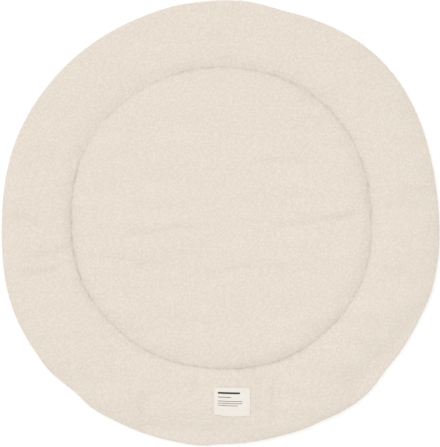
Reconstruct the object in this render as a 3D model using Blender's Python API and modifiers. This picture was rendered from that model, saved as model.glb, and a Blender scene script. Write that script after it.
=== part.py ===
"""Round playpen mat of nubbed cream cloth, lying flat on the floor.

Two round cloths are sewn together at the rim, filled, and sewn through once along a
quilted circle. A small woven label is sewn on the ring outside that circle.

Metres, with +Z up. Looking down with the label nearest, +X is right and +Y is away.
The origin is on the floor, under the middle of the mat's box.
"""

import math
from typing import NamedTuple

import bmesh
import bpy
from mathutils import Vector

COLLECTION_NAME = "round_playpen_mat"
MERGE_DISTANCE = 0.0001

# The mat as a plain round, before its rim and its quilted circle sway
MAT_RADIUS = 0.475
SEAM_RADIUS = 0.3244
SEAM_CENTRE = Vector((0.0023, 0.0095))
ROUND_STEPS = 128

# Heights over the floor
PANEL_CROWN = 0.026
PANEL_SHOULDER = 0.0245
RING_CROWN = 0.024
SEAM_TOP = 0.008
SEAM_UNDER = 0.004
RIM_HEIGHT = 0.009

# How far from its sewing the cloth takes to reach its full height, or the floor
SEAM_ROLL = 0.050
RIM_ROLL = 0.055
SEAM_UNDER_ROLL = 0.014
RIM_UNDER_ROLL = 0.018
SEAM_PUFF = 2.4

# Where the rings of points lie, as shares of those rolls
SEAM_SHARES = (0.08, 0.18, 0.32, 0.50, 0.72)
RIM_TURNS = 6
UNDER_SHARES = (0.12, 0.45)
PANEL_RINGS = 8

# Woven label, its corners square but for a lower edge that bows and dips to the right
LABEL_WIDTH = 0.078
LABEL_DEPTH = 0.0592
LABEL_TOP_MIDDLE = Vector((0.0244, -0.3518))
LABEL_BOW = 0.003
LABEL_SKEW = 0.0015
LABEL_THICKNESS = 0.001
LABEL_GAP = 0.0003
LABEL_LIFT = 0.0008
LABEL_CELLS = (12, 9)
DROP_HEIGHT = 0.1


class Sway(NamedTuple):
    """Even lobes around a circle: how many, how far out, and where one peaks."""

    lobes: int
    reach: float
    peak: float


class Kink(NamedTuple):
    """A short bulge of the rim, or a nip where the reach is below zero."""

    place: float
    spread: float
    reach: float


class Crease(NamedTuple):
    """A soft trough in the top cloth along a path, with its half width and depth."""

    path: tuple[tuple[float, float], ...]
    width: float
    depth: float


class Finish(NamedTuple):
    """A cloth's look."""

    name: str
    colour: tuple[float, float, float]
    roughness: float


# Reaches in metres, peaks, places and spreads in degrees counter-clockwise from +X
RIM_SWAYS = (
    Sway(lobes=2, reach=0.0049, peak=59.0),
    Sway(lobes=3, reach=0.0018, peak=-55.0),
    Sway(lobes=4, reach=0.0040, peak=44.0),
    Sway(lobes=5, reach=0.0008, peak=-27.0),
    Sway(lobes=6, reach=0.0013, peak=-22.0),
    Sway(lobes=7, reach=0.0022, peak=-5.5),
    Sway(lobes=8, reach=0.0008, peak=-10.0),
    Sway(lobes=10, reach=0.0007, peak=-17.0),
)
RIM_KINKS = (
    Kink(place=73.0, spread=4.0, reach=-0.0017),
    Kink(place=83.0, spread=4.0, reach=0.0016),
    Kink(place=95.0, spread=4.0, reach=-0.0015),
    Kink(place=220.0, spread=3.5, reach=0.0024),
    Kink(place=229.0, spread=3.5, reach=-0.0033),
    Kink(place=236.0, spread=3.5, reach=0.0022),
    Kink(place=264.0, spread=3.5, reach=0.0018),
    Kink(place=270.5, spread=3.0, reach=-0.0021),
    Kink(place=297.0, spread=3.5, reach=-0.0022),
    Kink(place=309.0, spread=5.0, reach=0.0022),
    Kink(place=318.5, spread=3.5, reach=-0.0027),
    Kink(place=341.0, spread=4.0, reach=0.0016),
)
SEAM_SWAYS = (
    Sway(lobes=2, reach=0.0007, peak=-33.0),
    Sway(lobes=3, reach=0.0020, peak=-52.0),
    Sway(lobes=4, reach=0.0025, peak=-43.0),
    Sway(lobes=6, reach=0.0008, peak=-26.0),
    Sway(lobes=7, reach=0.0005, peak=-10.0),
    Sway(lobes=8, reach=0.0009, peak=21.0),
)

# Left by folding the mat in half, and where the filling has slipped back from the rim
CREASES = (
    Crease(path=((0.078, 0.0), (0.156, -0.008), (0.213, 0.006), (0.3, 0.018)), width=0.013, depth=0.0026),
    Crease(path=((-0.207, -0.037), (-0.157, -0.026), (-0.051, -0.019)), width=0.014, depth=0.0016),
    Crease(path=((-0.279, -0.076), (-0.158, -0.094), (-0.022, -0.115)), width=0.014, depth=0.0020),
    Crease(path=((-0.250, 0.077), (-0.086, 0.080)), width=0.015, depth=0.0012),
    Crease(path=((-0.462, 0.006), (-0.393, -0.003)), width=0.013, depth=0.0026),
    Crease(path=((-0.403, -0.114), (-0.329, -0.094)), width=0.014, depth=0.0024),
    Crease(path=((-0.407, 0.123), (-0.318, 0.130)), width=0.014, depth=0.0014),
    Crease(path=((0.348, 0.020), (0.448, 0.038)), width=0.013, depth=0.0018),
    Crease(path=((0.391, -0.104), (0.455, -0.126)), width=0.014, depth=0.0020),
    Crease(path=((-0.229, -0.272), (-0.197, -0.330), (-0.165, -0.443)), width=0.015, depth=0.0022),
    Crease(path=((-0.075, -0.448), (-0.015, -0.452)), width=0.020, depth=0.0045),
    Crease(path=((0.335, -0.305), (0.412, -0.212)), width=0.030, depth=0.0055),
    Crease(path=((-0.055, 0.440), (0.010, 0.442)), width=0.020, depth=0.0022),
)

MAT_CLOTH = Finish(name="nubbed_cream_cloth", colour=(0.80, 0.72, 0.63), roughness=0.95)
LABEL_CLOTH = Finish(name="woven_label_cloth", colour=(0.90, 0.86, 0.79), roughness=0.85)


def clear_scene() -> None:
    """Take every object out of the scene."""
    for leftover in list(bpy.data.objects):
        bpy.data.objects.remove(leftover, do_unlink=True)


def make_collection() -> bpy.types.Collection:
    """Add the mat's own collection to the scene."""
    collection = bpy.data.collections.new(COLLECTION_NAME)
    bpy.context.scene.collection.children.link(collection)
    return collection


def make_material(finish: Finish) -> bpy.types.Material:
    """Give a finish its Principled material."""
    material = bpy.data.materials.new(finish.name)
    material.use_nodes = True
    shader = material.node_tree.nodes["Principled BSDF"]
    shader.inputs["Base Color"].default_value = (*finish.colour, 1.0)
    shader.inputs["Roughness"].default_value = finish.roughness
    shader.inputs["Metallic"].default_value = 0.0
    return material


def ease(share: float) -> float:
    """Go smoothly from 0 to 1 as the share does."""
    share = min(max(share, 0.0), 1.0)
    return share * share * (3.0 - 2.0 * share)


def seam_swell(distance: float) -> float:
    """How full the filling is at a distance from the quilted circle, 0 to 1."""
    share = min(abs(distance) / SEAM_ROLL, 1.0)
    return 1.0 - (1.0 - share) ** SEAM_PUFF


def rim_swell(distance: float, roll: float) -> float:
    """How far the rounded rim has turned at a distance inside its edge, 0 to 1."""
    share = min(distance / roll, 1.0)
    return math.sqrt(1.0 - (1.0 - share) ** 2)


def top_height(radius: float) -> float:
    """Height of the top cloth at a radius of the plain round."""
    fullness = seam_swell(radius - SEAM_RADIUS)
    if radius < SEAM_RADIUS:
        dome = 1.0 - (radius / SEAM_RADIUS) ** 2
        crown = PANEL_SHOULDER + (PANEL_CROWN - PANEL_SHOULDER) * dome
        return SEAM_TOP + (crown - SEAM_TOP) * fullness
    across = (radius - SEAM_RADIUS) / (MAT_RADIUS - SEAM_RADIUS)
    sewn = SEAM_TOP + (RIM_HEIGHT - SEAM_TOP) * ease(across)
    return sewn + (RING_CROWN - sewn) * fullness * rim_swell(MAT_RADIUS - radius, RIM_ROLL)


def under_height(radius: float) -> float:
    """Height of the under cloth, which lies on the floor between its sewn lines."""
    seam_share = min(abs(radius - SEAM_RADIUS) / SEAM_UNDER_ROLL, 1.0)
    rim_share = rim_swell(MAT_RADIUS - radius, RIM_UNDER_ROLL)
    return SEAM_UNDER * (1.0 - seam_share) ** 2 + RIM_HEIGHT * (1.0 - rim_share)


def top_radii() -> list[float]:
    """Radii of the top cloth's rings of points, from the middle to the rim."""
    shoulder = SEAM_RADIUS - SEAM_ROLL
    panel = [shoulder * ring / PANEL_RINGS for ring in range(PANEL_RINGS + 1)]
    into_seam = [SEAM_RADIUS - SEAM_ROLL * share for share in reversed(SEAM_SHARES)]
    out_of_seam = [SEAM_RADIUS + SEAM_ROLL * share for share in (0.0, *SEAM_SHARES, 1.0)]
    turns = [math.pi / 2.0 * turn / RIM_TURNS for turn in range(RIM_TURNS + 1)]
    rim = [MAT_RADIUS - RIM_ROLL * (1.0 - math.sin(turn)) for turn in turns]
    middle = (out_of_seam[-1] + rim[0]) / 2.0
    return [*panel, *into_seam, *out_of_seam, middle, *rim]


def under_radii() -> list[float]:
    """Radii of the under cloth's rings of points, from inside the rim to the middle."""
    rim = [MAT_RADIUS - RIM_UNDER_ROLL * share for share in (*UNDER_SHARES, 1.0)]
    seam = [SEAM_RADIUS + SEAM_UNDER_ROLL * share for share in (1.0, 0.5, 0.0, -0.5, -1.0)]
    return [*rim, *seam, 0.0]


def half_section() -> list[Vector]:
    """Points of the mat's half section at +X, down its outer side from the top."""
    top = [Vector((radius, 0.0, top_height(radius))) for radius in top_radii()]
    under = [Vector((radius, 0.0, under_height(radius))) for radius in under_radii()]
    return top + under


def turned_mesh(name: str, section: list[Vector]) -> bpy.types.Mesh:
    """Turn a half section about Z into one closed round mesh."""
    profile = bpy.data.meshes.new(f"{name}_section")
    edges = [(first, first + 1) for first in range(len(section) - 1)]
    profile.from_pydata(section, edges, [])
    turned = bpy.data.objects.new(f"{name}_section", profile)
    bpy.context.scene.collection.objects.link(turned)
    screw = turned.modifiers.new("turn", "SCREW")
    screw.axis = "Z"
    screw.angle = math.tau
    screw.steps = ROUND_STEPS
    screw.render_steps = ROUND_STEPS
    screw.use_merge_vertices = True
    screw.merge_threshold = MERGE_DISTANCE
    bpy.context.view_layer.update()
    evaluated = turned.evaluated_get(bpy.context.evaluated_depsgraph_get())
    mesh = bpy.data.meshes.new_from_object(evaluated)
    mesh.name = name
    bpy.data.objects.remove(turned, do_unlink=True)
    bpy.data.meshes.remove(profile)
    return mesh


def sway_at(sways: tuple[Sway, ...], angle: float) -> float:
    """How far out a swaying circle lies at an angle."""
    return sum(sway.reach * math.cos(sway.lobes * (angle - math.radians(sway.peak))) for sway in sways)


def rim_reach(angle: float) -> float:
    """How far out the rim lies at an angle, with its lobes and kinks."""
    reach = sway_at(RIM_SWAYS, angle)
    for kink in RIM_KINKS:
        turned = math.remainder(angle - math.radians(kink.place), math.tau)
        reach += kink.reach * math.exp(-((turned / math.radians(kink.spread)) ** 2))
    return reach


def plan_place(radius: float, angle: float) -> Vector:
    """Move a point of the plain round to its place between the swaying seam and rim."""
    outward = ease((radius - SEAM_RADIUS) / (MAT_RADIUS - SEAM_RADIUS))
    inward = ease(radius / SEAM_RADIUS)
    seam_sway = sway_at(SEAM_SWAYS, angle) * inward * (1.0 - outward)
    reach = radius + seam_sway + rim_reach(angle) * outward
    return SEAM_CENTRE * (1.0 - outward) + Vector((math.cos(angle), math.sin(angle))) * reach


def distance_to_path(place: Vector, path: tuple[tuple[float, float], ...]) -> float:
    """Shortest distance from a place to a path of straight stretches."""
    nearest = math.inf
    for first, last in zip(path, path[1:]):
        start = Vector(first)
        stretch = Vector(last) - start
        share = (place - start).dot(stretch) / stretch.length_squared
        foot = start + stretch * min(max(share, 0.0), 1.0)
        nearest = min(nearest, (place - foot).length)
    return nearest


def crease_depth(place: Vector) -> float:
    """How deep the creases press the top cloth at a place."""
    pressed = 0.0
    for crease in CREASES:
        distance = distance_to_path(place, crease.path)
        pressed += crease.depth * math.exp(-((distance / crease.width) ** 2))
    return pressed


def make_mat() -> bpy.types.Object:
    """Build the filled mat: turned, swayed in plan, and creased on top."""
    mesh = turned_mesh("padded_mat", half_section())
    for vertex in mesh.vertices:
        place = plan_place(vertex.co.xy.length, math.atan2(vertex.co.y, vertex.co.x))
        filled = ease((vertex.co.z - RIM_HEIGHT) / (RING_CROWN - RIM_HEIGHT))
        height = vertex.co.z - filled * crease_depth(place)
        vertex.co = (*place, height)
    mesh.shade_smooth()
    return bpy.data.objects.new("padded_mat", mesh)


def label_place(across: float, down: float) -> tuple[Vector, float]:
    """Place on the mat, and gap under it, of a label point from its shares of the label.

    Across goes from -1 at the left edge to 1 at the right, and down from 0 at the top
    edge to 1 at the lower one.
    """
    bow = 1.0 - across**2
    drop = LABEL_DEPTH + LABEL_BOW * bow + LABEL_SKEW * across
    place = LABEL_TOP_MIDDLE + Vector((across * LABEL_WIDTH / 2.0, -down * drop))
    return place, LABEL_GAP + LABEL_LIFT * bow * down**2


def make_label(mat: bpy.types.Object) -> bpy.types.Object:
    """Build the label as a thin sheet that follows the mat under it."""
    mesh = bpy.data.meshes.new("sewn_label")
    sheet = bmesh.new()
    bmesh.ops.create_grid(sheet, x_segments=LABEL_CELLS[0], y_segments=LABEL_CELLS[1], size=1.0)
    for vertex in sheet.verts:
        place, gap = label_place(vertex.co.x, (1.0 - vertex.co.y) / 2.0)
        above = Vector((*place, DROP_HEIGHT))
        _, touched, _, _ = mat.ray_cast(above, Vector((0.0, 0.0, -1.0)))
        vertex.co = touched + Vector((0.0, 0.0, gap))
    sheet.to_mesh(mesh)
    sheet.free()
    label = bpy.data.objects.new("sewn_label", mesh)
    thicken = label.modifiers.new("thickness", "SOLIDIFY")
    thicken.thickness = LABEL_THICKNESS
    thicken.offset = 1.0
    mesh.shade_smooth()
    return label


def centre_on_origin(mat: bpy.types.Object, label: bpy.types.Object) -> None:
    """Slide both pieces so that the mat's box stands over the origin."""
    corners = [Vector(corner) for corner in mat.bound_box]
    middle = sum(corners, Vector((0.0, 0.0, 0.0))) / len(corners)
    for piece in (mat, label):
        piece.location = (-middle.x, -middle.y, 0.0)


def build() -> None:
    """Make the mat and its label."""
    clear_scene()
    collection = make_collection()
    mat = make_mat()
    mat.data.materials.append(make_material(MAT_CLOTH))
    collection.objects.link(mat)
    bpy.context.view_layer.update()
    label = make_label(mat)
    label.data.materials.append(make_material(LABEL_CLOTH))
    collection.objects.link(label)
    centre_on_origin(mat, label)


build()
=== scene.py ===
"""Looks of a round playpen mat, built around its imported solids.

The mat is a filled round of nubbed cream cloth, sewn through once along a quilted
circle. It lies on a pale floor and is seen from straight above, with its small woven
label nearest the viewer. Lengths are metres, +X is right, +Y is away and +Z is up.
"""

import logging
import math
from dataclasses import dataclass
from enum import Enum
from typing import Callable

import bpy
import numpy as np
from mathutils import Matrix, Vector, noise
from mathutils.bvhtree import BVHTree


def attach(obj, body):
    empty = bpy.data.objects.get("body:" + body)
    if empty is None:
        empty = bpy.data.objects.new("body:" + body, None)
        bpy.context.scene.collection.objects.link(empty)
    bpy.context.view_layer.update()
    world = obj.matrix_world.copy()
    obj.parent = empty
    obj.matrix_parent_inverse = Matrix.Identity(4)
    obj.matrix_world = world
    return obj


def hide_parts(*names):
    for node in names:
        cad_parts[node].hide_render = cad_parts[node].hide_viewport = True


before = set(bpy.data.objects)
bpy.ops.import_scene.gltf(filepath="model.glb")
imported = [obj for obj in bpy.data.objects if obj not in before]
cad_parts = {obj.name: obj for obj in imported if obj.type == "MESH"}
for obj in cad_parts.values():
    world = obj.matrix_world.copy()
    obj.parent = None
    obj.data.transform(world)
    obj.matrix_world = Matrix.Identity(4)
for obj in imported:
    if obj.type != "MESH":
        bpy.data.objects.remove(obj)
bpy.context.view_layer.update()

BODY = "root"
WELD = 0.00001
NOISE_GAIN = 1.6
Rows = np.ndarray
Colour = tuple[float, float, float]
log = logging.getLogger("playpen_mat")


class Slot(Enum):
    """The material slots that the record names."""

    MAT_CLOTH = "nubbed_cream_cloth"
    LABEL_CLOTH = "woven_label_cloth"


class Face(Enum):
    """The two cloths of the mat, by the side that they face."""

    TOP = 1
    UNDER = -1


class Layer(Enum):
    """The layer of the noise that each kind of unevenness reads, so that none follows another."""

    LUMPS = 2.3
    PANEL_PUCKERS = 3.7
    STRAY_X = 4.4
    RIM_PUCKERS = 5.1
    SEAM_WAVER = 6.6
    STRAY_Y = 8.8
    RING_PUCKERS = 9.2
    THREAD_PULL = 12.4


# Shader building


class Value:
    """A shader socket that adds its own Math nodes when it is used in an expression."""

    def __init__(self, shader: "ClothShader", socket: bpy.types.NodeSocket) -> None:
        """Hold a socket and the shader it belongs to.

        Args:
            shader: The material that new nodes go to.
            socket: The output socket that is wrapped.
        """
        self.shader = shader
        self.socket = socket

    def __add__(self, other: "Value | float") -> "Value":
        """Add a value or number."""
        return self.shader.maths("ADD", self, other)

    def __radd__(self, other: float) -> "Value":
        """Add this to a number."""
        return self.shader.maths("ADD", other, self)

    def __sub__(self, other: "Value | float") -> "Value":
        """Take a value or number away."""
        return self.shader.maths("SUBTRACT", self, other)

    def __rsub__(self, other: float) -> "Value":
        """Take this away from a number."""
        return self.shader.maths("SUBTRACT", other, self)

    def __mul__(self, other: "Value | float") -> "Value":
        """Multiply by a value or number."""
        return self.shader.maths("MULTIPLY", self, other)

    def __rmul__(self, other: float) -> "Value":
        """Multiply a number by this."""
        return self.shader.maths("MULTIPLY", other, self)

    def __gt__(self, other: "Value | float") -> "Value":
        """Give 1 where this is above a value or number, else 0."""
        return self.shader.maths("GREATER_THAN", self, other)

    def __lt__(self, other: "Value | float") -> "Value":
        """Give 1 where this is below a value or number, else 0."""
        return self.shader.maths("LESS_THAN", self, other)


class ClothShader:
    """Builds the nodes of one cloth or thread material."""

    def __init__(self, name: str) -> None:
        """Start a Principled material.

        Args:
            name: The material's name.
        """
        self.material = bpy.data.materials.new(name)
        self.material.use_nodes = True
        self.tree = self.material.node_tree
        self.surface = self.tree.nodes["Principled BSDF"]

    def node(self, kind: str, settings: dict | None = None, plugs: dict | None = None) -> bpy.types.Node:
        """Add a node.

        Args:
            kind: The node's type.
            settings: Its properties, set before its sockets.
            plugs: A number, colour, value or socket for each input named or numbered.

        Returns:
            The new node.
        """
        made = self.tree.nodes.new(kind)
        for name, setting in (settings or {}).items():
            setattr(made, name, setting)
        for name, plug in (plugs or {}).items():
            self.plug(made.inputs[name], plug)
        return made

    def plug(self, socket: bpy.types.NodeSocket, plug: object) -> None:
        """Link a value or socket into an input, or set the input to a constant.

        Args:
            socket: The input.
            plug: A value, a socket, or a number or colour.
        """
        if isinstance(plug, Value):
            plug = plug.socket
        if isinstance(plug, bpy.types.NodeSocket):
            self.tree.links.new(plug, socket)
        else:
            socket.default_value = plug

    def maths(self, operation: str, first: "Value | float", second: "Value | float") -> Value:
        """Add a Math node.

        Args:
            operation: The node's operation.
            first: The first value or number.
            second: The second value or number.

        Returns:
            The node's result.
        """
        made = self.node("ShaderNodeMath", {"operation": operation}, {0: first, 1: second})
        return Value(self, made.outputs[0])

    def place(self) -> bpy.types.NodeSocket:
        """Give each point's place in the row frame."""
        return self.node("ShaderNodeTexCoord").outputs["Object"]

    def cloud(self, grain: float, detail: float = 2.0, place: bpy.types.NodeSocket | None = None) -> Value:
        """Add soft noise.

        Args:
            grain: Size of its blotches in metres.
            detail: How many finer layers it has.
            place: Where it is read, by default the point's own place.

        Returns:
            The noise, 0 to 1.
        """
        plugs = {"Vector": place or self.place(), "Scale": 1.0 / grain, "Detail": detail}
        return Value(self, self.node("ShaderNodeTexNoise", {}, plugs).outputs["Fac"])

    def blend(self, share: Value, first: Colour, second: Colour) -> bpy.types.NodeSocket:
        """Mix two colours.

        Args:
            share: How much of the second colour shows, 0 to 1.
            first: Colour where the share is 0.
            second: Colour where the share is 1.

        Returns:
            The mixed colour's socket.
        """
        plugs = {0: share, 6: (*first, 1.0), 7: (*second, 1.0)}
        return self.node("ShaderNodeMix", {"data_type": "RGBA"}, plugs).outputs[2]

    def ramp(self, value: Value, low: float, high: float) -> Value:
        """Stretch a value, with soft ends.

        Args:
            value: The value.
            low: What becomes 0.
            high: What becomes 1.

        Returns:
            The stretched value.
        """
        plugs = {"Value": value, "From Min": low, "From Max": high}
        made = self.node("ShaderNodeMapRange", {"interpolation_type": "SMOOTHSTEP"}, plugs)
        return Value(self, made.outputs["Result"])

    def raise_from(self, height: Value, distance: float, strength: float = 1.0) -> None:
        """Feed a height to the surface's normal.

        Args:
            height: The relief, 0 to 1.
            distance: How tall 1 is, in metres.
            strength: Share of the relief that shows.
        """
        plugs = {"Height": height, "Distance": distance, "Strength": strength}
        self.plug(self.surface.inputs["Normal"], self.node("ShaderNodeBump", {}, plugs).outputs["Normal"])


@dataclass(frozen=True)
class NubbedCloth:
    """Thick cream cloth woven with short loops, which stand up as fine uneven nubs."""

    name: str = "nubbed_cream_top"
    # The first colour is painted light on the nubs' tops, the second painted shade in the hollows between
    # them.
    lit_crest: Colour = (0.828, 0.756, 0.678)
    hollow: Colour = (0.667, 0.595, 0.515)
    nub: float = 0.0050
    nub_height: float = 0.0009
    nub_middle: float = 0.05
    nub_edge: float = 0.75
    nub_blur: float = 0.6
    fibre: float = 0.0014
    fibre_share: float = 0.40
    wander: float = 0.0035
    wander_share: float = 0.4
    patch: float = 0.11
    patch_share: float = 0.24
    streak: float = 4.0
    roughness: float = 0.95
    fuzz: float = 0.15

    def material(self) -> bpy.types.Material:
        """Build the cloth's material.

        Returns:
            The material.
        """
        shader = ClothShader(self.name)
        place = shader.place()
        spread = self.wander_share / self.nub
        stray = shader.node("ShaderNodeTexNoise", {}, {"Vector": place, "Scale": spread, "Detail": 1.0})
        push = shader.node(
            "ShaderNodeVectorMath",
            {"operation": "MULTIPLY_ADD"},
            {0: stray.outputs["Color"], 1: (self.wander,) * 3, 2: place},
        )
        cells = shader.node(
            "ShaderNodeTexVoronoi",
            {"feature": "SMOOTH_F1"},
            {"Vector": push.outputs[0], "Scale": 1.0 / self.nub, "Smoothness": self.nub_blur},
        )
        nubs = 1.0 - shader.ramp(Value(shader, cells.outputs["Distance"]), self.nub_middle, self.nub_edge)
        fibres = shader.cloud(self.fibre, detail=2.0)
        streaks = shader.node(
            "ShaderNodeVectorMath", {"operation": "MULTIPLY"}, {0: place, 1: (1.0, self.streak, 1.0)}
        )
        patches = shader.cloud(self.patch, detail=2.0, place=streaks.outputs[0])
        relief = nubs * (1.0 - self.fibre_share) + fibres * self.fibre_share
        shade = relief * (1.0 - self.patch_share) + patches * self.patch_share
        # The base colour follows the relief as painted shade in its hollows and painted light on its crests,
        # mixed with streaky patches of tone.
        shader.plug(shader.surface.inputs["Base Color"], shader.blend(shade, self.hollow, self.lit_crest))
        shader.raise_from(relief, self.nub_height)
        shader.surface.inputs["Roughness"].default_value = self.roughness
        shader.surface.inputs["Sheen Weight"].default_value = self.fuzz
        return shader.material


@dataclass(frozen=True)
class WovenCloth:
    """Thin cloth in a plain weave, flecked along its threads."""

    name: str
    light: Colour
    shade: Colour
    thread: float
    relief: float
    roughness: float
    crowding: float = 0.5
    unevenness: float = 0.4
    fleck_threads: float = 3.0
    fleck_share: float = 0.4

    def threads(self, shader: ClothShader, direction: str) -> Value:
        """Give the height of the threads that lie side by side in one direction.

        Args:
            shader: The material that the nodes go to.
            direction: X or Y.

        Returns:
            The height, 0 to 1.
        """
        scale = self.crowding / self.thread
        waves = shader.node(
            "ShaderNodeTexWave",
            {"bands_direction": direction},
            {"Vector": shader.place(), "Scale": scale, "Distortion": self.unevenness, "Detail": 1.0},
        )
        return Value(shader, waves.outputs["Fac"])

    def weave(self, shader: ClothShader) -> Value:
        """Give the weave's height, 0 to 1."""
        return self.threads(shader, "X") * 0.5 + self.threads(shader, "Y") * 0.5

    def base_colour(self, shader: ClothShader, height: Value) -> bpy.types.NodeSocket:
        """Give the cloth's colour, with painted shade between its threads."""
        flecks = shader.cloud(self.thread * self.fleck_threads, detail=1.0) * self.fleck_share
        return shader.blend(height * (1.0 - self.fleck_share) + flecks, self.shade, self.light)

    def material(self) -> bpy.types.Material:
        """Build the cloth's material.

        Returns:
            The material.
        """
        shader = ClothShader(self.name)
        height = self.weave(shader)
        shader.plug(shader.surface.inputs["Base Color"], self.base_colour(shader, height))
        shader.raise_from(height, self.relief)
        shader.surface.inputs["Roughness"].default_value = self.roughness
        return shader.material


@dataclass(frozen=True)
class Rule:
    """A plain line woven into the label, in shares of its width and depth from the top left."""

    left: float
    right: float
    top: float
    bottom: float

    def covers(self, across: Value, down: Value) -> Value:
        """Give 1 where the rule is, and 0 elsewhere."""
        return (across > self.left) * (across < self.right) * (down > self.top) * (down < self.bottom)


@dataclass(frozen=True)
class LabelCloth(WovenCloth):
    """The label's cloth, with plain rules woven into it."""

    ink: Colour = (0.030, 0.028, 0.026)
    rules: tuple[Rule, ...] = (
        Rule(0.12, 0.72, 0.160, 0.225),
        Rule(0.12, 0.48, 0.330, 0.352),
        Rule(0.12, 0.78, 0.470, 0.488),
        Rule(0.12, 0.78, 0.545, 0.563),
        Rule(0.12, 0.66, 0.620, 0.638),
    )

    def base_colour(self, shader: ClothShader, height: Value) -> bpy.types.NodeSocket:
        """Give the cloth's colour with its rules.

        Args:
            shader: The material that the nodes go to.
            height: The weave's height.

        Returns:
            The colour's socket.
        """
        plain = super().base_colour(shader, height)
        sheet = shader.node("ShaderNodeUVMap", {"uv_map": "sheet"}).outputs[0]
        parts = shader.node("ShaderNodeSeparateXYZ", {}, {0: sheet})
        across = Value(shader, parts.outputs[0])
        down = 1.0 - Value(shader, parts.outputs[1])
        woven = sum(rule.covers(across, down) for rule in self.rules)
        mix = shader.node("ShaderNodeMix", {"data_type": "RGBA"}, {0: woven, 6: plain, 7: (*self.ink, 1.0)})
        return mix.outputs[2]


@dataclass(frozen=True)
class SewingThread:
    """Matt cotton sewing thread, with its two plies showing."""

    name: str
    light: Colour
    shade: Colour
    ply: float = 0.0005
    ply_relief: float = 0.3
    crowding: float = 0.5
    roughness: float = 0.8

    def material(self) -> bpy.types.Material:
        """Build the thread's material.

        Returns:
            The material.
        """
        shader = ClothShader(self.name)
        twist = shader.node(
            "ShaderNodeTexWave",
            {"bands_direction": "DIAGONAL"},
            {"Vector": shader.place(), "Scale": self.crowding / self.ply, "Distortion": 0.5},
        )
        height = Value(shader, twist.outputs["Fac"])
        shader.plug(shader.surface.inputs["Base Color"], shader.blend(height, self.shade, self.light))
        shader.raise_from(height, self.ply_relief * self.ply)
        shader.surface.inputs["Roughness"].default_value = self.roughness
        return shader.material


TOP_CLOTH = NubbedCloth()
UNDER_CLOTH = WovenCloth(
    name="plain_cream_under",
    light=(0.800, 0.725, 0.640),
    shade=(0.690, 0.610, 0.520),
    thread=0.0011,
    relief=0.0002,
    roughness=0.9,
)
LABEL_CLOTH = LabelCloth(
    name="woven_label",
    light=(0.885, 0.843, 0.783),
    shade=(0.785, 0.737, 0.668),
    thread=0.0005,
    relief=0.00010,
    roughness=0.85,
)
CREAM_THREAD = SewingThread(name="cream_thread", light=(0.790, 0.715, 0.635), shade=(0.690, 0.610, 0.530))
WHITE_THREAD = SewingThread(name="white_thread", light=(0.880, 0.840, 0.780), shade=(0.740, 0.690, 0.620))


# Small tools


def let_go() -> None:
    """Leave edit mode and deselect everything."""
    if bpy.context.object and bpy.context.object.mode != "OBJECT":
        bpy.ops.object.mode_set(mode="OBJECT")
    bpy.ops.object.select_all(action="DESELECT")


def start_piece(name: str, add: Callable[..., set[str]], **settings: object) -> bpy.types.Object:
    """Add a primitive as the start of a piece.

    Args:
        name: The piece's name.
        add: The operator that adds the primitive.
        **settings: The operator's settings.

    Returns:
        The new active object.
    """
    let_go()
    add(**settings)
    piece = bpy.context.object
    piece.name = name
    piece.data.name = name
    return piece


def apply_modifier(piece: bpy.types.Object, name: str) -> None:
    """Apply one modifier of a piece.

    Args:
        piece: The piece.
        name: The modifier's name.
    """
    let_go()
    piece.select_set(True)
    bpy.context.view_layer.objects.active = piece
    bpy.ops.object.modifier_apply(modifier=name)


def merge_seams(piece: bpy.types.Object) -> None:
    """Merge a piece's doubled points and face it outwards.

    Args:
        piece: The piece.
    """
    let_go()
    piece.select_set(True)
    bpy.context.view_layer.objects.active = piece
    bpy.ops.object.mode_set(mode="EDIT")
    bpy.ops.mesh.select_all(action="SELECT")
    bpy.ops.mesh.remove_doubles(threshold=WELD)
    bpy.ops.mesh.normals_make_consistent(inside=False)
    bpy.ops.object.mode_set(mode="OBJECT")


def read_points(mesh: bpy.types.Mesh) -> Rows:
    """Read where a mesh's points are.

    Args:
        mesh: The mesh.

    Returns:
        A row for each point.
    """
    flat = np.empty(len(mesh.vertices) * 3)
    mesh.vertices.foreach_get("co", flat)
    return flat.reshape(-1, 3)


def write_points(mesh: bpy.types.Mesh, points: Rows) -> None:
    """Move a mesh's points to new rows."""
    mesh.vertices.foreach_set("co", points.astype(np.float32).ravel())
    mesh.update()


def ease(share: Rows) -> Rows:
    """Go smoothly from 0 to 1 as the shares do."""
    share = np.clip(share, 0.0, 1.0)
    return share * share * (3.0 - 2.0 * share)


def noise_at(places: Rows, layer: Layer) -> Rows:
    """Give soft noise, -1 to 1, at each place in plan, from one of its layers."""
    heights = np.full(len(places), layer.value)
    return np.array([noise.noise(Vector(place)) for place in np.column_stack((places, heights))])


# The mat


@dataclass(frozen=True)
class Crease:
    """A soft trough in the top cloth along a path, with its half width and depth.

    The depth is in metres, and less than nothing for a ridge. Where the filling droops
    to the rim it is the share of the filling's height that is gone.
    """

    path: tuple[tuple[float, float], ...]
    width: float
    depth: float


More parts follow.
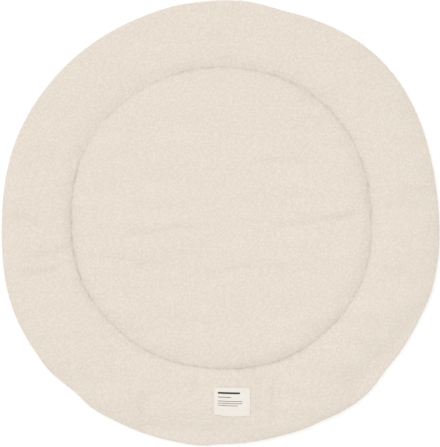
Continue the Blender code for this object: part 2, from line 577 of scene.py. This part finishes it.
FOLD_CREASES = (
    Crease(((0.078, 0.000), (0.156, -0.008), (0.213, 0.006), (0.262, 0.012), (0.300, 0.018)), 0.009, 0.0034),
    Crease(((0.245, 0.009), (0.282, 0.015)), 0.011, 0.0028),
    Crease(((-0.207, -0.037), (-0.157, -0.026), (-0.108, -0.016), (-0.051, -0.019)), 0.010, 0.0030),
    Crease(((-0.005, -0.020), (0.030, -0.032)), 0.013, 0.0024),
    Crease(((-0.279, -0.076), (-0.207, -0.083), (-0.158, -0.094)), 0.011, 0.0032),
    Crease(((-0.165, -0.091), (-0.086, -0.098), (-0.022, -0.115), (0.060, -0.098)), 0.010, 0.0034),
    Crease(((-0.250, 0.077), (-0.160, 0.081), (-0.086, 0.087)), 0.013, 0.0018),
    Crease(((-0.466, 0.006), (-0.430, 0.010), (-0.393, -0.003)), 0.012, 0.0075),
    Crease(((-0.410, -0.114), (-0.370, -0.106), (-0.335, -0.096)), 0.012, 0.0060),
    Crease(((-0.393, -0.076), (-0.355, -0.074), (-0.326, -0.060)), 0.012, 0.0052),
    Crease(((-0.407, 0.123), (-0.380, 0.130), (-0.318, 0.128)), 0.012, 0.0034),
    Crease(((0.348, 0.020), (0.400, 0.038), (0.448, 0.042)), 0.013, 0.0036),
    Crease(((0.335, -0.100), (0.391, -0.107), (0.455, -0.130)), 0.013, 0.0042),
    Crease(((0.075, 0.225), (0.075, 0.185)), 0.010, 0.0016),
    Crease(((-0.008, 0.325), (-0.004, 0.308), (0.020, 0.294)), 0.007, 0.0030),
    Crease(((-0.035, 0.367), (0.014, 0.363)), 0.010, -0.0024),
    Crease(((0.012, -0.165), (0.016, -0.200)), 0.012, 0.0016),
    Crease(((-0.229, -0.275), (-0.227, -0.330)), 0.011, 0.0046),
    Crease(((-0.197, -0.296), (-0.186, -0.360)), 0.011, 0.0046),
    Crease(((-0.166, -0.372), (-0.163, -0.445)), 0.012, 0.0080),
    Crease(((-0.048, -0.316), (-0.050, -0.350)), 0.010, 0.0038),
    Crease(((0.085, -0.334), (0.087, -0.400)), 0.010, 0.0034),
    Crease(((0.120, -0.336), (0.118, -0.416)), 0.010, 0.0040),
)
RIM_DROOPS = (
    Crease(((-0.130, -0.437), (-0.050, -0.457), (0.010, -0.458)), 0.034, 0.70),
    Crease(((0.300, -0.345), (0.360, -0.290), (0.432, -0.212)), 0.036, 0.95),
    Crease(((-0.160, 0.420), (-0.030, 0.446), (0.110, 0.440)), 0.034, 0.60),
)


STITCH_TIGHTNESS = (
    (0.0, 0.55),
    (30.0, 0.85),
    (60.0, 0.75),
    (95.0, 0.65),
    (125.0, 0.15),
    (145.0, 0.20),
    (170.0, 0.90),
    (190.0, 0.95),
    (225.0, 0.60),
    (255.0, 0.80),
    (285.0, 0.85),
    (320.0, 0.65),
)


def crease_depth(places: Rows, creases: tuple[Crease, ...]) -> Rows:
    """Give how deep a set of creases presses the cloth.

    Args:
        places: Points on the mat, a row each.
        creases: The creases, about the mat's own middle.

    Returns:
        A depth for each row, in metres.
    """
    pressed = np.zeros(len(places))
    for crease in creases:
        nearest = np.full(len(places), np.inf)
        for first, last in zip(crease.path, crease.path[1:]):
            stretch = np.subtract(last, first)
            share = np.clip((places - first) @ stretch / (stretch @ stretch), 0.0, 1.0)
            feet = first + share[:, None] * stretch
            nearest = np.minimum(nearest, np.linalg.norm(places - feet, axis=1))
        pressed += crease.depth * np.exp(-((nearest / crease.width) ** 2))
    return pressed


class SewnLines:
    """The mat's quilted circle and rim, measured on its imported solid."""

    seam_height = 0.008
    rim_height = 0.009
    seam_reach = (0.28, 0.38)
    rim_reach = (0.44, 0.52)
    tolerance = 0.00002
    waver = 0.0010
    waver_size = 0.016

    def __init__(self, solid: bpy.types.Object, count: int) -> None:
        """Measure both lines.

        Args:
            solid: The mat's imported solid.
            count: How many evenly spaced points each line gets.
        """
        points = np.unique(np.round(read_points(solid.data), 6), axis=0)
        seam = self.ring(points, self.seam_height, self.seam_reach)
        rim = self.ring(points, self.rim_height, self.rim_reach)
        self.middle = seam.mean(axis=0)
        self.rim_middle = rim.mean(axis=0)
        self.seam = self.unsteady(self.even_points(seam, count))
        self.rim = self.even_points(rim, count)
        log.info("sewn lines: %d points on the circle, %d on the rim", len(seam), len(rim))

    def ring(self, points: Rows, height: float, reach: tuple[float, float]) -> Rows:
        """Pick one ring of the solid's points, in order from +X.

        Args:
            points: All the solid's points.
            height: The ring's height over the floor.
            reach: Its least and greatest distance from the origin.

        Returns:
            The ring's places in plan, counter-clockwise.
        """
        distance = np.hypot(points[:, 0], points[:, 1])
        level = np.abs(points[:, 2] - height) < self.tolerance
        picked = points[level & (distance > reach[0]) & (distance < reach[1]), :2]
        around = picked - picked.mean(axis=0)
        turn = np.arctan2(around[:, 1], around[:, 0])
        picked = picked[np.argsort(turn)]
        return np.roll(picked, -int(np.argmin(np.abs(np.sort(turn)))), axis=0)

    @staticmethod
    def even_points(ring: Rows, count: int) -> Rows:
        """Pass a smooth closed curve through a ring and give evenly spaced points on it.

        Args:
            ring: The ring's places.
            count: How many points are wanted.

        Returns:
            The points, counter-clockwise.
        """
        waves = np.fft.fft(ring[:, 0] + 1j * ring[:, 1]) / len(ring)
        turns = np.fft.fftfreq(len(ring), 1.0 / len(ring))
        curve = np.exp(2j * np.pi * np.outer(np.arange(count) / count, turns)) @ waves
        return np.column_stack((curve.real, curve.imag))

    def unsteady(self, ring: Rows) -> Rows:
        """Let the quilted circle wander a little, as it was sewn by hand.

        Args:
            ring: The circle's points.

        Returns:
            The points, each moved a little in or out.
        """
        outward = ring - self.middle
        outward /= np.linalg.norm(outward, axis=1)[:, None]
        shift = self.waver * NOISE_GAIN * noise_at(ring / self.waver_size, Layer.SEAM_WAVER)
        return ring + outward * shift[:, None]


@dataclass
class PaddedMat:
    """The filled mat: a top and an under cloth, sewn at the rim and along the quilted circle."""

    lines: SewnLines
    round_steps: int = 600
    seam_bands: tuple[tuple[float, int], ...] = ((0.0045, 6), (0.0125, 5), (0.050, 12))
    panel_rings: int = 36
    ring_rings: int = 9
    rim_rings: int = 15
    nose_rings: int = 7
    nose_crowding: float = 1.6
    under_rings: tuple[int, int, int] = (5, 8, 9)
    mat_radius: float = 0.475
    seam_radius: float = 0.3244
    panel_crown: float = 0.0260
    panel_shoulder: float = 0.0245
    ring_crown: float = 0.0240
    seam_top: float = 0.0112
    seam_under: float = 0.0040
    rim_height: float = 0.0090
    seam_roll: float = 0.036
    rim_roll: float = 0.055
    seam_under_roll: float = 0.014
    rim_under_roll: float = 0.018
    seam_puff: float = 2.6
    seam_nip: float = 0.10
    seam_nip_reach: float = 0.005
    rim_tuck: float = 0.0009
    rim_tuck_reach: float = 0.0003
    seam_slack: float = 0.70
    seam_slack_reach: float = 0.009
    seam_groove: float = 0.0010
    seam_groove_reach: float = 0.0013
    seam_groove_pitch: float = 0.012
    steady_pull: float = 0.25
    uneven_pull: float = 1.10
    seam_pucker: float = 0.0013
    seam_pucker_reach: float = 0.007
    seam_pucker_pitch: float = 0.016
    rim_pucker: float = 0.0006
    rim_pucker_reach: float = 0.012
    rim_pucker_pitch: float = 0.024
    pucker_rise: float = 3.0
    lump: float = 0.0024
    lump_size: tuple[float, float] = (0.140, 0.036)
    stray: float = 0.006
    stray_size: float = 0.035
    pressure: float = 4.0
    gather_growth: float = 0.06
    gather_reach: float = 0.022
    steps: int = 20
    quality: int = 3
    sewn_hold: float = 0.004
    still_panel: float = 0.22
    still_fade: float = 0.05
    swell_cap: float = 0.004
    limp_crease: float = 0.0045
    fill: float = 0.5

    def seam_swell(self, distance: Rows) -> Rows:
        """Give how full the filling is.

        Args:
            distance: Distances from the quilted circle.

        Returns:
            A share for each, 0 to 1.
        """
        rolled = 1.0 - (1.0 - np.minimum(np.abs(distance) / self.seam_roll, 1.0)) ** self.seam_puff
        nipped = 1.0 - (1.0 - np.minimum(np.abs(distance) / self.seam_nip_reach, 1.0)) ** 2
        return rolled + (nipped - rolled) * self.seam_nip

    def rim_swell(self, distance: Rows, roll: float) -> Rows:
        """How far the rounded rim has turned at distances inside its edge, 0 to 1."""
        share = np.clip(distance / roll, 0.0, 1.0)
        return np.sqrt(1.0 - (1.0 - share) ** 2)

    def top_height(self, radius: Rows) -> Rows:
        """Give the height of the top cloth.

        Args:
            radius: Radii of the plain round.

        Returns:
            A height for each.
        """
        fullness = self.seam_swell(radius - self.seam_radius)
        dome = 1.0 - np.minimum(radius / self.seam_radius, 1.0) ** 2
        panel_crown = self.panel_shoulder + (self.panel_crown - self.panel_shoulder) * dome
        panel = self.seam_top + (panel_crown - self.seam_top) * fullness
        across = (radius - self.seam_radius) / (self.mat_radius - self.seam_radius)
        sewn = self.seam_top + (self.rim_height - self.seam_top) * ease(across)
        turned = self.rim_swell(self.mat_radius - radius, self.rim_roll)
        ring = sewn + (self.ring_crown - sewn) * fullness * turned
        return np.where(radius < self.seam_radius, panel, ring)

    def under_height(self, radius: Rows) -> Rows:
        """Give the height of the under cloth.

        Args:
            radius: Radii of the plain round.

        Returns:
            A height for each.
        """
        share = np.minimum(np.abs(radius - self.seam_radius) / self.seam_under_roll, 1.0)
        turned = self.rim_swell(self.mat_radius - radius, self.rim_under_roll)
        return self.seam_under * (1.0 - share) ** 2 + self.rim_height * (1.0 - turned)

    def top_radii(self) -> Rows:
        """Give the radii of the top cloth's rings, close together by its sewn lines.

        Returns:
            The radii, from the middle out.
        """
        seam, rim = self.seam_radius, self.mat_radius
        (near, near_rings), (mid, mid_rings), (far, far_rings) = self.seam_bands
        panel = ((0.0, seam - far, self.panel_rings), (seam - far, seam - mid, far_rings))
        sewn_in = ((seam - mid, seam - near, mid_rings), (seam - near, seam, near_rings))
        sewn_out = ((seam, seam + near, near_rings), (seam + near, seam + mid, mid_rings))
        ring = ((seam + mid, seam + far, far_rings), (seam + far, rim - self.rim_roll, self.ring_rings))
        bands = panel + sewn_in + sewn_out + ring
        runs = [np.linspace(start, end, count, endpoint=False) for start, end, count in bands]
        turns = np.linspace(0.0, math.pi / 2.0, self.rim_rings)
        return np.concatenate((*runs, rim - self.rim_roll * (1.0 - np.sin(turns))))

    def under_radii(self) -> Rows:
        """Give the radii of the under cloth's rings.

        Returns:
            The radii, from just inside the rim to the middle.
        """
        seam, rim, roll = self.seam_radius, self.mat_radius, self.seam_under_roll
        shares = np.linspace(0.0, 1.0, self.nose_rings + 1)[1:]
        nose = rim - self.rim_under_roll * (shares**self.nose_crowding)
        stops = (rim - self.rim_under_roll, seam + roll, seam - roll, 0.0)
        bands = zip(stops, stops[1:], self.under_rings)
        runs = [np.linspace(start, end, count + 1)[1:] for start, end, count in bands]
        return np.concatenate((nose, *runs))

    def plain_round(self) -> bpy.types.Object:
        """Turn the half section into a plain round, as the start of the mat.

        Returns:
            The plain round.
        """
        tops, unders = self.top_radii(), self.under_radii()
        radii = np.concatenate((tops, unders))
        heights = np.concatenate((self.top_height(tops), self.under_height(unders)))
        section = np.column_stack((radii, np.zeros(len(radii)), heights))
        circle = bpy.ops.mesh.primitive_circle_add
        mat = start_piece("mat_body", circle, vertices=len(section), radius=1.0, fill_type="NOTHING")
        write_points(mat.data, section)
        bpy.ops.object.mode_set(mode="EDIT")
        bpy.ops.mesh.select_mode(type="VERT")
        bpy.ops.mesh.select_all(action="DESELECT")
        bpy.ops.object.mode_set(mode="OBJECT")
        for end in (0, len(section) - 1):
            mat.data.vertices[end].select = True
        bpy.ops.object.mode_set(mode="EDIT")
        bpy.ops.mesh.delete(type="EDGE_FACE")
        bpy.ops.object.mode_set(mode="OBJECT")
        turn = mat.modifiers.new("turn", "SCREW")
        turn.axis = "Z"
        turn.steps = turn.render_steps = self.round_steps
        turn.use_merge_vertices = True
        turn.merge_threshold = WELD
        apply_modifier(mat, "turn")
        merge_seams(mat)
        return mat

    def plan(self, radius: Rows, turn: Rows) -> Rows:
        """Move points of the plain round to their places between the two sewn lines.

        Args:
            radius: Each point's radius on the plain round.
            turn: Its angle there.

        Returns:
            The places in plan.
        """
        spoke = np.round(turn / math.tau * self.round_steps).astype(int) % self.round_steps
        seam, rim = self.lines.seam[spoke], self.lines.rim[spoke]
        inward = np.minimum(radius / self.seam_radius, 1.0)[:, None]
        across = (radius - self.seam_radius) / (self.mat_radius - self.seam_radius)
        outward = np.clip(across, 0.0, 1.0)[:, None]
        panel = self.lines.middle + (seam - self.lines.middle) * inward
        tucked = np.maximum(0.0, 1.0 - (self.mat_radius - radius) / self.rim_tuck_reach)[:, None]
        inside = (seam - rim) / np.linalg.norm(seam - rim, axis=1)[:, None]
        return panel + (rim - seam) * outward + inside * tucked * self.rim_tuck

    def ripple(self, turn: Rows, radius: float, pitch: float, layer: Layer) -> Rows:
        """Give uneven ripples around a circle, -1 to 1.

        Args:
            turn: Angles around the circle.
            radius: The circle's radius.
            pitch: About how far apart the ripples are.
            layer: The layer of the noise that they follow.

        Returns:
            The ripple at each angle.
        """
        reach = radius / pitch
        around = np.column_stack((reach * np.cos(turn), reach * np.sin(turn)))
        return NOISE_GAIN * noise_at(around, layer)

    def gather(self, distance: Rows, reach: float) -> Rows:
        """Give how strongly puckers show at distances from their seam, 0 to 1."""
        share = np.abs(distance) / reach
        return share * np.exp(1.0 - share)

    def puckers(self, radius: Rows, turn: Rows) -> Rows:
        """Give the height of the puckers that both sewn lines gather in the cloth.

        Args:
            radius: Each point's radius on the plain round.
            turn: Its angle there.

        Returns:
            A height for each point.
        """
        from_seam = radius - self.seam_radius
        inside = self.ripple(turn, self.seam_radius, self.seam_pucker_pitch, Layer.PANEL_PUCKERS)
        outside = self.ripple(turn, self.seam_radius, self.seam_pucker_pitch, Layer.RING_PUCKERS)
        by_seam = np.where(from_seam < 0.0, inside, outside) * self.gather(from_seam, self.seam_pucker_reach)
        by_rim = self.ripple(turn, self.mat_radius, self.rim_pucker_pitch, Layer.RIM_PUCKERS)
        by_rim *= self.gather(self.mat_radius - radius, self.rim_pucker_reach)
        return self.seam_pucker * by_seam + self.rim_pucker * by_rim

    def groove_depth(self, turn: Rows) -> Rows:
        """Give how deep the quilted circle's thread pulls into the top cloth.

        Args:
            turn: Angles around the circle.

        Returns:
            A depth for each.
        """
        uneven = self.ripple(turn, self.seam_radius, self.seam_groove_pitch, Layer.THREAD_PULL)
        pull = self.steady_pull + self.uneven_pull * uneven
        return self.seam_groove * np.clip(pull, 0.0, 1.0) * self.tightness(turn)

    def tightness(self, turn: Rows) -> Rows:
        """Give how tightly the quilted circle was drawn.

        Args:
            turn: Angles around the circle.

        Returns:
            A share for each, 0 to 1.
        """
        angles = [math.radians(degrees) for degrees, _ in STITCH_TIGHTNESS]
        shares = [share for _, share in STITCH_TIGHTNESS]
        return np.interp(turn, angles, shares, period=math.tau)

    def slack(self, radius: Rows, turn: Rows) -> Rows:
        """Give how much higher the top cloth lies where the circle was drawn less tightly.

        Args:
            radius: Each point's radius on the plain round.
            turn: Its angle there.

        Returns:
            A height for each point.
        """
        ends = self.seam_radius + np.array([-self.seam_slack_reach, self.seam_slack_reach])
        level = np.interp(radius, ends, self.top_height(ends))
        hollow = np.maximum(level - self.top_height(radius), 0.0)
        near = np.abs(radius - self.seam_radius) < self.seam_slack_reach
        return self.seam_slack * (1.0 - self.tightness(turn)) * hollow * near

    def groove(self, radius: Rows, turn: Rows) -> Rows:
        """Give the depth of the narrow groove along the quilted circle."""
        share = (radius - self.seam_radius) / self.seam_groove_reach
        return self.groove_depth(turn) * np.exp(-(share**2))

    def lumps(self, places: Rows) -> Rows:
        """Give the height of the filling's slow unevenness, longer along X as the mat was folded."""
        return self.lump * NOISE_GAIN * noise_at(places / np.array(self.lump_size), Layer.LUMPS)

    def build(self) -> bpy.types.Object:
        """Model the filled mat.

        Returns:
            The mat's finished piece.
        """
        mat = self.plain_round()
        plain = read_points(mat.data)
        radius = np.hypot(plain[:, 0], plain[:, 1])
        turn = np.arctan2(plain[:, 1], plain[:, 0])
        tops, unders = self.top_height(radius), self.under_height(radius)
        is_top = plain[:, 2] > (tops + unders) / 2.0
        places = self.plan(radius, turn)
        about_middle = places - self.lines.rim_middle
        sewn = np.where(radius < self.seam_radius, self.seam_top, np.minimum(tops, self.rim_height))
        filled = ease((tops - sewn) / (self.ring_crown - self.rim_height))
        strays = [noise_at(places / self.stray_size, layer) for layer in (Layer.STRAY_X, Layer.STRAY_Y)]
        strayed = about_middle + self.stray * np.column_stack(strays)
        creases = crease_depth(strayed, FOLD_CREASES)
        drooped = crease_depth(about_middle, RIM_DROOPS) * (tops - sewn)
        puckered = np.minimum(filled * self.pucker_rise, 1.0) * self.puckers(radius, turn)
        soft = filled * (self.lumps(places) - creases) + puckered
        soft += self.slack(radius, turn) - self.groove(radius, turn) - drooped
        heights = plain[:, 2] + np.where(is_top, soft, 0.0)
        points = np.column_stack((places, heights))
        write_points(mat.data, points)
        emptied = crease_depth(about_middle, RIM_DROOPS) + creases / self.limp_crease
        self.settle(mat, radius, is_top, np.clip(emptied, 0.0, 1.0))
        self.dress(mat, is_top)
        return mat

    def settle(self, mat: bpy.types.Object, radius: Rows, is_top: Rows, limp: Rows) -> None:
        """Blow the cloth up a little against its sewn lines, and keep the result.

        Args:
            mat: The mat.
            radius: Each point's radius on the plain round.
            is_top: Which points are on the top cloth.
            limp: How far the filling is gone from under each point, 0 to 1, so that it stays down.
        """
        start = read_points(mat.data)
        from_sewing = np.minimum(np.abs(radius - self.seam_radius), self.mat_radius - radius)
        outer = ease((radius - self.still_panel) / self.still_fade)
        free = ease(from_sewing / self.sewn_hold) * outer * (1.0 - limp) * is_top
        held = mat.vertex_groups.new(name="held")
        for index, share in enumerate(1.0 - free):
            held.add([index], float(share), "REPLACE")
        grown = mat.vertex_groups.new(name="gathered")
        for index, share in enumerate(np.exp(-((from_sewing / self.gather_reach) ** 2)) * is_top):
            grown.add([index], float(share), "REPLACE")
        cloth = mat.modifiers.new("filling", "CLOTH")
        cloth.settings.vertex_group_mass = "held"
        cloth.settings.vertex_group_shrink = "gathered"
        cloth.settings.shrink_min = 0.0
        cloth.settings.shrink_max = -self.gather_growth
        cloth.settings.quality = self.quality
        cloth.settings.use_pressure = True
        cloth.settings.uniform_pressure_force = self.pressure
        cloth.settings.effector_weights.gravity = 0.0
        scene = bpy.context.scene
        for step in range(1, self.steps + 1):
            scene.frame_set(step)
        settled = mat.evaluated_get(bpy.context.evaluated_depsgraph_get()).to_mesh()
        moved = read_points(settled) - start
        mat.modifiers.remove(cloth)
        scene.frame_set(1)
        length = np.linalg.norm(moved, axis=1)
        log.info("cloth moved %.2f mm at most, %.2f mm on average", length.max() * 1e3, length.mean() * 1e3)
        capped = moved * np.minimum(1.0, self.swell_cap / np.maximum(length, 1e-9))[:, None]
        mat.vertex_groups.clear()
        write_points(mat.data, start + capped)

    def dress(self, mat: bpy.types.Object, is_top: Rows) -> None:
        """Give each cloth its finish, and say what the piece is.

        Args:
            mat: The mat.
            is_top: Which points are on the top cloth.
        """
        mat.data.materials.append(TOP_CLOTH.material())
        mat.data.materials.append(UNDER_CLOTH.material())
        for polygon in mat.data.polygons:
            polygon.use_smooth = True
            polygon.material_index = 0 if all(is_top[index] for index in polygon.vertices) else 1
        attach(mat, BODY)
        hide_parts("padded_mat")


@dataclass
class Stitches:
    """A row of short thread stitches along a sewn line."""

    pitch: float = 0.0036
    length: float = 0.0029
    thickness: float = 0.0007
    sides: int = 6
    rings: int = 5

    def row(self, name: str, count: int) -> bpy.types.Object:
        """Model one stitch along X and repeat it, all copies in the same place.

        Args:
            name: The row's name.
            count: How many stitches it has.

        Returns:
            The row, one mesh.
        """
        ball = bpy.ops.mesh.primitive_uv_sphere_add
        row = start_piece(name, ball, segments=self.sides, ring_count=self.rings, radius=0.5)
        bpy.ops.object.mode_set(mode="EDIT")
        bpy.ops.transform.rotate(value=math.pi / 2.0, orient_axis="Y", center_override=(0.0, 0.0, 0.0))
        size = (self.length, self.thickness, self.thickness)
        bpy.ops.transform.resize(value=size, center_override=(0.0, 0.0, 0.0))
        bpy.ops.object.mode_set(mode="OBJECT")
        repeat = row.modifiers.new("repeat", "ARRAY")
        repeat.count = count
        repeat.use_relative_offset = False
        apply_modifier(row, "repeat")
        return row

    def sew(self, name: str, places: Rows, ups: Rows, finish: SewingThread) -> bpy.types.Object:
        """Make a row of stitches and lay each one in its place.

        Args:
            name: The piece's name.
            places: Where each stitch's middle lies, in order along the line.
            ups: Which way the cloth faces there.
            finish: The thread.

        Returns:
            The row of stitches.
        """
        row = self.row(name, len(places))
        points = read_points(row.data).reshape(len(places), -1, 3)
        ahead = np.roll(places, -1, axis=0) - np.roll(places, 1, axis=0)
        along = ahead / np.linalg.norm(ahead, axis=1)[:, None]
        aside = np.cross(ups, along)
        aside /= np.linalg.norm(aside, axis=1)[:, None]
        axes = np.stack((along, aside, np.cross(along, aside)), axis=1)
        laid = places[:, None] + points @ axes
        write_points(row.data, laid.reshape(-1, 3))
        row.data.shade_smooth()
        row.data.materials.append(finish.material())
        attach(row, BODY)
        log.info("%s: %d stitches", name, len(places))
        return row


@dataclass
class QuiltedCircle:
    """The thread of the quilted circle, on both sides of the mat."""

    lines: SewnLines
    mat: PaddedMat
    stitches: Stitches
    sink: float = 0.0001

    def build(self, face: Face) -> bpy.types.Object:
        """Sew one side's row of stitches.

        Args:
            face: The side of the mat that the row is on.

        Returns:
            The row of stitches.
        """
        seam = self.lines.seam
        steps = np.linalg.norm(np.roll(seam, -1, axis=0) - seam, axis=1)
        count = round(steps.sum() / self.stitches.pitch)
        run = np.concatenate(([0.0], np.cumsum(steps)))
        closed = np.vstack((seam, seam[:1]))
        wanted = np.arange(count) * run[-1] / count
        plan = np.column_stack([np.interp(wanted, run, closed[:, axis]) for axis in (0, 1)])
        height = np.full(count, self.mat.seam_under + self.sink)
        if face is Face.TOP:
            turn = np.arange(count) / count * math.tau
            slack = self.mat.slack(np.full(count, self.mat.seam_radius), turn)
            height = self.mat.seam_top + slack - self.mat.groove_depth(turn) - self.sink
        places = np.column_stack((plan, height))
        ups = np.tile((0.0, 0.0, float(face.value)), (count, 1))
        row = self.stitches.sew(f"quilt_stitches_{face.name.lower()}", places, ups, CREAM_THREAD)
        return row


@dataclass
class SewnLabel:
    """A small woven label, laid on the mat's outer ring and sewn round its edge."""

    ground: bpy.types.Object
    middle: Rows
    width: float = 0.0776
    depth: float = 0.0583
    flat_depth: float = 0.0603
    top_middle: tuple[float, float] = (0.0234, -0.3488)
    tilt: float = 0.0007
    bow: float = 0.0030
    skew: float = 0.0005
    thickness: float = 0.0007
    gap: float = 0.0003
    lift: float = 0.0008
    hem: float = 0.0045
    hem_height: float = 0.0003
    hem_slope: float = 0.0008
    edge_round: float = 0.00025
    cells: tuple[int, int] = (64, 50)
    stitch_inset: float = 0.0022
    drop_height: float = 0.1

    def __post_init__(self) -> None:
        """Take the finished mat's surface for the label to lie on."""
        points = read_points(self.ground.data)
        faces = [tuple(polygon.vertices) for polygon in self.ground.data.polygons]
        self.surface = BVHTree.FromPolygons(points.tolist(), faces)

    def place(self, across: float, down: float) -> Vector:
        """Find a point of the label's under face.

        Args:
            across: Share from -1 at the left edge to 1 at the right.
            down: Share from 0 at the top edge to 1 at the lower edge.

        Returns:
            The point on the mat, raised by the label's gap.
        """
        bowed = 1.0 - across**2
        drop = self.depth + self.bow * bowed + self.skew * across
        x = self.middle[0] + self.top_middle[0] + across * self.width / 2.0
        y = self.middle[1] + self.top_middle[1] - self.tilt * across - down * drop
        touched = self.surface.ray_cast(Vector((x, y, self.drop_height)), Vector((0.0, 0.0, -1.0)))[0]
        return touched + Vector((0.0, 0.0, self.gap + self.lift * bowed * down**2))

    def hem_rise(self, across: float, down: float) -> float:
        """Give how much thicker the folded hem makes a point of the label."""
        inset = min((1.0 - abs(across)) * self.width / 2.0, down * self.depth, (1.0 - down) * self.depth)
        return self.hem_height * float(1.0 - ease(np.array((inset - self.hem) / self.hem_slope + 0.5)))

    def build(self) -> bpy.types.Object:
        """Model the label.

        Returns:
            The label's finished piece.
        """
        label = start_piece(
            "label",
            bpy.ops.mesh.primitive_grid_add,
            x_subdivisions=self.cells[0],
            y_subdivisions=self.cells[1],
            size=2.0,
        )
        label.data.uv_layers[0].name = "sheet"
        for vertex in label.data.vertices:
            across, down = vertex.co.x, (1.0 - vertex.co.y) / 2.0
            vertex.co = self.place(across, down)
            vertex.co.z += self.hem_rise(across, down)
        thicken = label.modifiers.new("thicken", "SOLIDIFY")
        thicken.thickness = self.thickness
        thicken.offset = 1.0
        apply_modifier(label, "thicken")
        soften = label.modifiers.new("soften", "BEVEL")
        soften.width = self.edge_round
        soften.segments = 2
        soften.limit_method = "ANGLE"
        apply_modifier(label, "soften")
        label.data.shade_smooth()
        label.data.materials.append(LABEL_CLOTH.material())
        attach(label, BODY)
        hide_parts("sewn_label")
        return label

    def build_stitches(self, stitches: Stitches) -> bpy.types.Object:
        """Sew the label down round its edge.

        Args:
            stitches: The kind of stitch.

        Returns:
            The row of stitches.
        """
        across = 1.0 - 2.0 * self.stitch_inset / self.width
        top, bottom = self.stitch_inset / self.depth, 1.0 - self.stitch_inset / self.depth
        corners = ((-across, top), (-across, bottom), (across, bottom), (across, top), (-across, top))
        rows = []
        for first, last in zip(corners, corners[1:]):
            span = abs(last[0] - first[0]) * self.width / 2.0 + abs(last[1] - first[1]) * self.depth
            count = round(span / stitches.pitch)
            for step in range(count):
                share = (step + 0.5) / count
                here = (first[0] + (last[0] - first[0]) * share, first[1] + (last[1] - first[1]) * share)
                rows.append(self.place(*here) + Vector((0.0, 0.0, self.thickness + self.hem_rise(*here))))
        places = np.array(rows)
        ups = np.tile((0.0, 0.0, 1.0), (len(places), 1))
        row = stitches.sew("label_stitches", places, ups, WHITE_THREAD)
        return row


# The room


@dataclass
class Studio:
    """A pale floor, soft light and a camera straight above the mat."""

    middle: Rows
    floor_size: float = 8.0
    floor_tone: Colour = (0.95, 0.95, 0.95)
    floor_roughness: float = 0.9
    floor_glow: float = 0.045
    pixel: float = 0.0021377
    picture_height: int = 447
    aim_right: float = 0.84
    aim_up: float = 0.26
    lens: float = 85.0
    sensor: float = 36.0
    mat_height: float = 0.009
    sky: float = 0.88
    overhead_power: float = 9.0
    overhead_size: float = 0.8
    overhead_height: float = 2.4
    key_strength: float = 0.36
    key_softness: float = 40.0
    key_from: tuple[float, float, float] = (-1.0, 1.0, 1.3)

    def build_floor(self) -> None:
        """Lay the floor."""
        floor = start_piece("floor", bpy.ops.mesh.primitive_plane_add, size=self.floor_size)
        shader = ClothShader("pale_floor")
        shader.surface.inputs["Base Color"].default_value = (*self.floor_tone, 1.0)
        shader.surface.inputs["Roughness"].default_value = self.floor_roughness
        shader.surface.inputs["Emission Color"].default_value = (1.0, 1.0, 1.0, 1.0)
        shader.surface.inputs["Emission Strength"].default_value = self.floor_glow
        floor.data.materials.append(shader.material)

    def build_lights(self) -> None:
        """Light the mat evenly, a little more from the upper left."""
        world = bpy.data.worlds.new("soft_room")
        world.use_nodes = True
        background = world.node_tree.nodes["Background"]
        background.inputs["Color"].default_value = (1.0, 1.0, 1.0, 1.0)
        background.inputs["Strength"].default_value = self.sky
        bpy.context.scene.world = world
        panel = bpy.data.lights.new("overhead_panel", "AREA")
        panel.energy = self.overhead_power
        panel.size = self.overhead_size
        self.hang(panel, Vector((0.0, 0.0, self.overhead_height)))
        key = bpy.data.lights.new("key", "SUN")
        key.energy = self.key_strength
        key.angle = math.radians(self.key_softness)
        self.hang(key, Vector(self.key_from))

    def hang(self, lamp: bpy.types.Light, place: Vector) -> None:
        """Hang a lamp so that it faces the middle of the mat.

        Args:
            lamp: The lamp.
            place: Where it hangs.
        """
        holder = bpy.data.objects.new(lamp.name, lamp)
        holder.location = place
        holder.rotation_euler = (-place).to_track_quat("-Z", "Y").to_euler()
        bpy.context.scene.collection.objects.link(holder)

    def build_camera(self) -> None:
        """Hang the camera straight above, framed as the photograph is."""
        lens = bpy.data.cameras.new("overhead")
        lens.lens = self.lens
        lens.sensor_width = self.sensor
        camera = bpy.data.objects.new("overhead", lens)
        rise = self.picture_height * self.pixel * self.lens / self.sensor
        x = self.middle[0] - self.aim_right * self.pixel
        y = self.middle[1] - self.aim_up * self.pixel
        camera.location = (x, y, self.mat_height + rise)
        bpy.context.scene.collection.objects.link(camera)
        bpy.context.scene.camera = camera

    def build(self) -> None:
        """Set up the whole room."""
        self.build_floor()
        self.build_lights()
        self.build_camera()
        bpy.context.scene.view_settings.view_transform = "Standard"


def main() -> None:
    """Build the mat, its thread, its label and the room."""
    logging.basicConfig(level=logging.INFO, format="%(name)s: %(message)s")
    mat_pass = PaddedMat(lines=SewnLines(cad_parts["padded_mat"], PaddedMat.round_steps))
    mat = mat_pass.build()
    log.info("%s: %d faces", mat.name, len(mat.data.polygons))
    circle = QuiltedCircle(lines=mat_pass.lines, mat=mat_pass, stitches=Stitches())
    for face in Face:
        circle.build(face)
    label_pass = SewnLabel(ground=mat, middle=mat_pass.lines.rim_middle)
    label = label_pass.build()
    log.info("%s: %d faces", label.name, len(label.data.polygons))
    stitching = label_pass.build_stitches(Stitches(pitch=0.0027, length=0.0021, thickness=0.0004))
    Studio(middle=mat_pass.lines.rim_middle).build()


if __name__ == "__main__":
    main()
